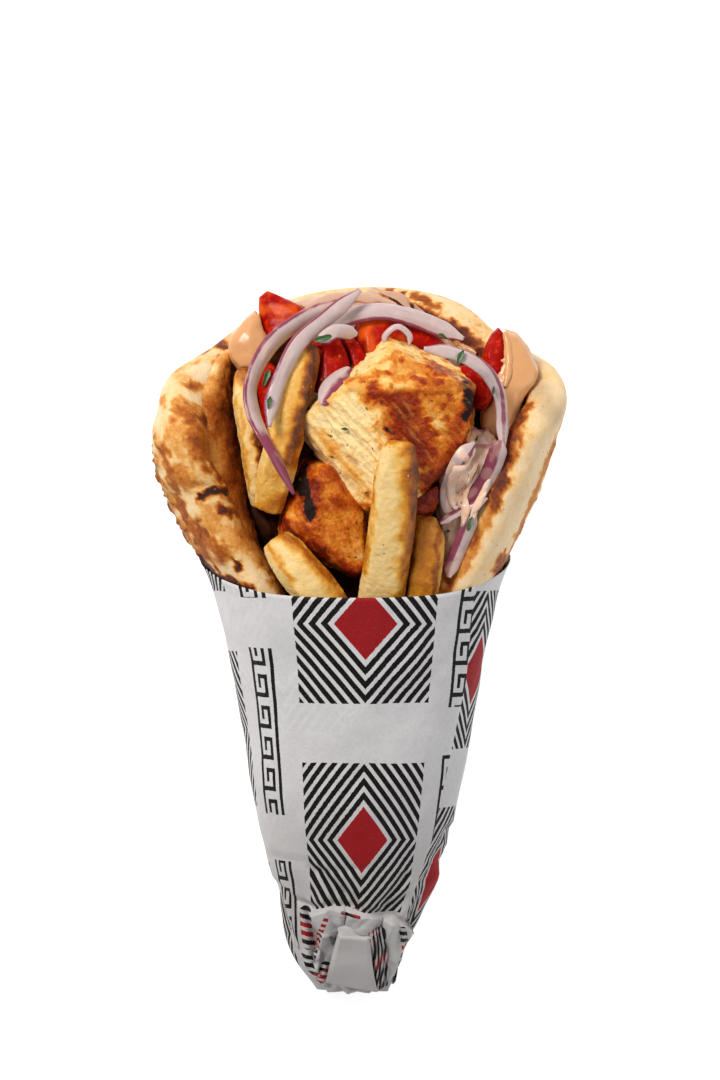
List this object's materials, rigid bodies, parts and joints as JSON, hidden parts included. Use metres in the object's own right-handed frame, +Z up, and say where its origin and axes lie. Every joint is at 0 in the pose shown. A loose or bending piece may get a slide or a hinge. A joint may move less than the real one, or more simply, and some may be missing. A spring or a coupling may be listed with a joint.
{
  "type": "souvlaki pita",
  "caption": "Thick round pita rolled into an open cone round grilled chicken, fries, tomato, red onion and sauce, in a patterned paper wrap with a folded tail.",
  "frame": {"origin": "on the table under the middle of the whole wrap's box, as it lies on its back", "axes": "+Y along the wrap from the folded paper tail to the open mouth, +X to the right seen from above with the mouth away, +Z up out of the filled side"},
  "size_m": [0.1164, 0.207, 0.0743],
  "materials": {
    "bread": "soft toasted flatbread, pale cream with golden and brown grill patches",
    "paper": "thin uncoated greaseproof paper, creased, with a dark grey and dark red pattern",
    "chicken": "grilled chicken, moist fibrous faces and browned sear",
    "fry": "fried potato, pale faces with golden edges",
    "tomato": "wet cut tomato",
    "onion": "translucent white onion with purple edges",
    "sauce": "smooth glossy creamy sauce",
    "filling": "dark moist filling in the shade between the pieces"
  },
  "bodies": {
    "root": {"pita": "bread", "paper": "paper", "chicken_big": "chicken", "chicken_left": "chicken", "chicken_right": "chicken", "fry_front": "fry", "fry_low_left": "fry", "fry_low_right": "fry", "fry_left": "fry", "fry_far_left": "fry", "tomato_back_left": "tomato", "tomato_back": "tomato", "tomato_back_right": "tomato", "tomato_middle_left": "tomato", "tomato_middle": "tomato", "tomato_right": "tomato", "tomato_low_right": "tomato", "tomato_left": "tomato", "onion_back_arc": "onion", "onion_outer_arc": "onion", "onion_inner_arc": "onion", "onion_right_arc": "onion", "onion_ring": "onion", "onion_petal": "onion", "onion_white": "onion", "onion_low_left": "onion", "onion_low_right": "onion", "onion_low_tail": "onion", "onion_low_cross": "onion", "sauce_back": "sauce", "sauce_left": "sauce", "sauce_right": "sauce", "sauce_low_right": "sauce", "filling_core": "filling"}
  },
  "joints": []
}
